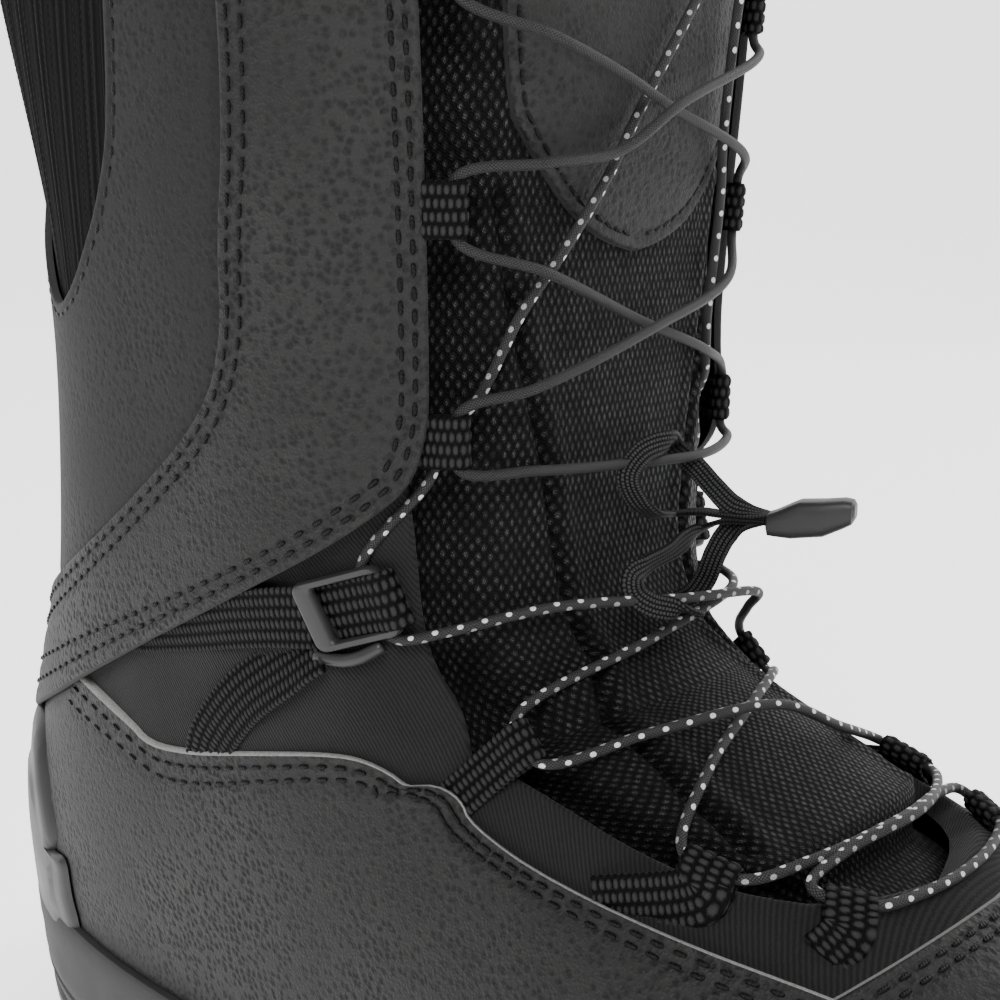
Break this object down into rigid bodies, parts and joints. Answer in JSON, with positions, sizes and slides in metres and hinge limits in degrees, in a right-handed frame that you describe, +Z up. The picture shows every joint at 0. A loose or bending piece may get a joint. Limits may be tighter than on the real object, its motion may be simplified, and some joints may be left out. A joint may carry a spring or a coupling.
{
  "type": "snowboard boot",
  "caption": "Laced snowboard boot for the right foot with a hinged ankle cuff, removable liner, ankle harness and rubber sole.",
  "frame": {"origin": "on the floor under the middle of the boot's length and width", "axes": "+X towards the toe, +Y towards the inner side of the foot, +Z up"},
  "size_m": [0.3101, 0.1354, 0.2857],
  "materials": {
    "leather": "pebbled charcoal leather with raw-cut grey edges, matt",
    "softshell": "near-black twill stretch fabric",
    "mesh": "black 3-D spacer mesh with raised knots",
    "webbing": "black basket-weave webbing",
    "rubber": "matt black moulded rubber",
    "foam": "dark foam under a knitted lining",
    "board": "pressed fibre board",
    "plastic": "dark grey moulded nylon, satin",
    "steel": "plain steel",
    "lace_plain": "dark grey round braid",
    "lace_fleck": "black round braid with white flecks"
  },
  "bodies": {
    "foot": {"ankle_buckle_lateral": "plastic", "ankle_buckle_medial": "plastic", "ankle_lace_loop_lateral": "webbing", "ankle_lace_loop_medial": "webbing", "ankle_strap_lower_lateral": "webbing", "ankle_strap_lower_medial": "webbing", "ankle_strap_upper_lateral": "webbing", "ankle_strap_upper_medial": "webbing", "foot_loop_1_lateral": "webbing", "foot_loop_1_medial": "webbing", "foot_loop_2_lateral": "webbing", "foot_loop_2_medial": "webbing", "foot_loop_3_lateral": "webbing", "foot_loop_3_medial": "webbing", "footbed": "foam", "heel_counter": "plastic", "heel_cup": "rubber", "lasting_board": "board", "liner": "foam", "liner_sole": "foam", "liner_tongue": "foam", "lower_lace": "lace_fleck", "midsole": "foam", "outsole": "rubber", "quarter_lateral": "leather", "quarter_medial": "leather", "shank": "steel", "softshell": "softshell", "toe_cap": "leather", "tongue": "mesh"},
    "cuff": {"achilles_gusset_lateral": "softshell", "achilles_gusset_medial": "softshell", "cuff_back_panel": "leather", "cuff_loop_1_lateral": "webbing", "cuff_loop_1_medial": "webbing", "cuff_loop_2_lateral": "webbing", "cuff_loop_2_medial": "webbing", "cuff_loop_3_lateral": "webbing", "cuff_loop_3_medial": "webbing", "cuff_panel_lateral": "leather", "cuff_panel_medial": "leather", "lace_handle_lateral": "rubber", "lace_handle_medial": "rubber", "lace_lock_base_lateral": "plastic", "lace_lock_base_medial": "plastic", "lace_lock_pin_lateral": "steel", "lace_lock_pin_medial": "steel", "rear_pull_loop": "webbing", "tongue_patch": "leather", "upper_lace": "lace_plain"},
    "pull_tab": {"pull_tab_loop_lower": "webbing", "pull_tab_loop_upper": "webbing", "pull_tab_tip": "rubber"},
    "lock_cam_lateral": {"lace_lock_cam_lateral": "plastic"},
    "lock_cam_medial": {"lace_lock_cam_medial": "plastic"}
  },
  "joints": [
    {"name": "ankle_flex", "type": "hinge", "parent": "foot", "child": "cuff", "pos_m": [-0.042, 0, 0.09], "axis": [0, 1, 0], "range_deg": [0, 9], "stiffness_Nm_per_rad": 60, "deforming": ["softshell", "tongue", "liner", "liner_tongue", "lower_lace"]},
    {"name": "pull_tab_swing", "type": "hinge", "parent": "foot", "child": "pull_tab", "pos_m": [0.0208, 0.01107, 0.13069], "axis": [-0.3665, 0.9304, 0], "range_deg": [-7, 7], "deforming": ["upper_lace"]},
    {"name": "lock_cam_lateral_turn", "type": "hinge", "parent": "cuff", "child": "lock_cam_lateral", "pos_m": [-0.00321, -0.0598, 0.2482], "axis": [0.9005, 0.4348, 0.0064], "range_deg": [0, 40]},
    {"name": "lock_cam_medial_turn", "type": "hinge", "parent": "cuff", "child": "lock_cam_medial", "pos_m": [-0.00321, 0.0598, 0.2482], "axis": [-0.9005, 0.4348, -0.0064], "range_deg": [0, 40]}
  ]
}
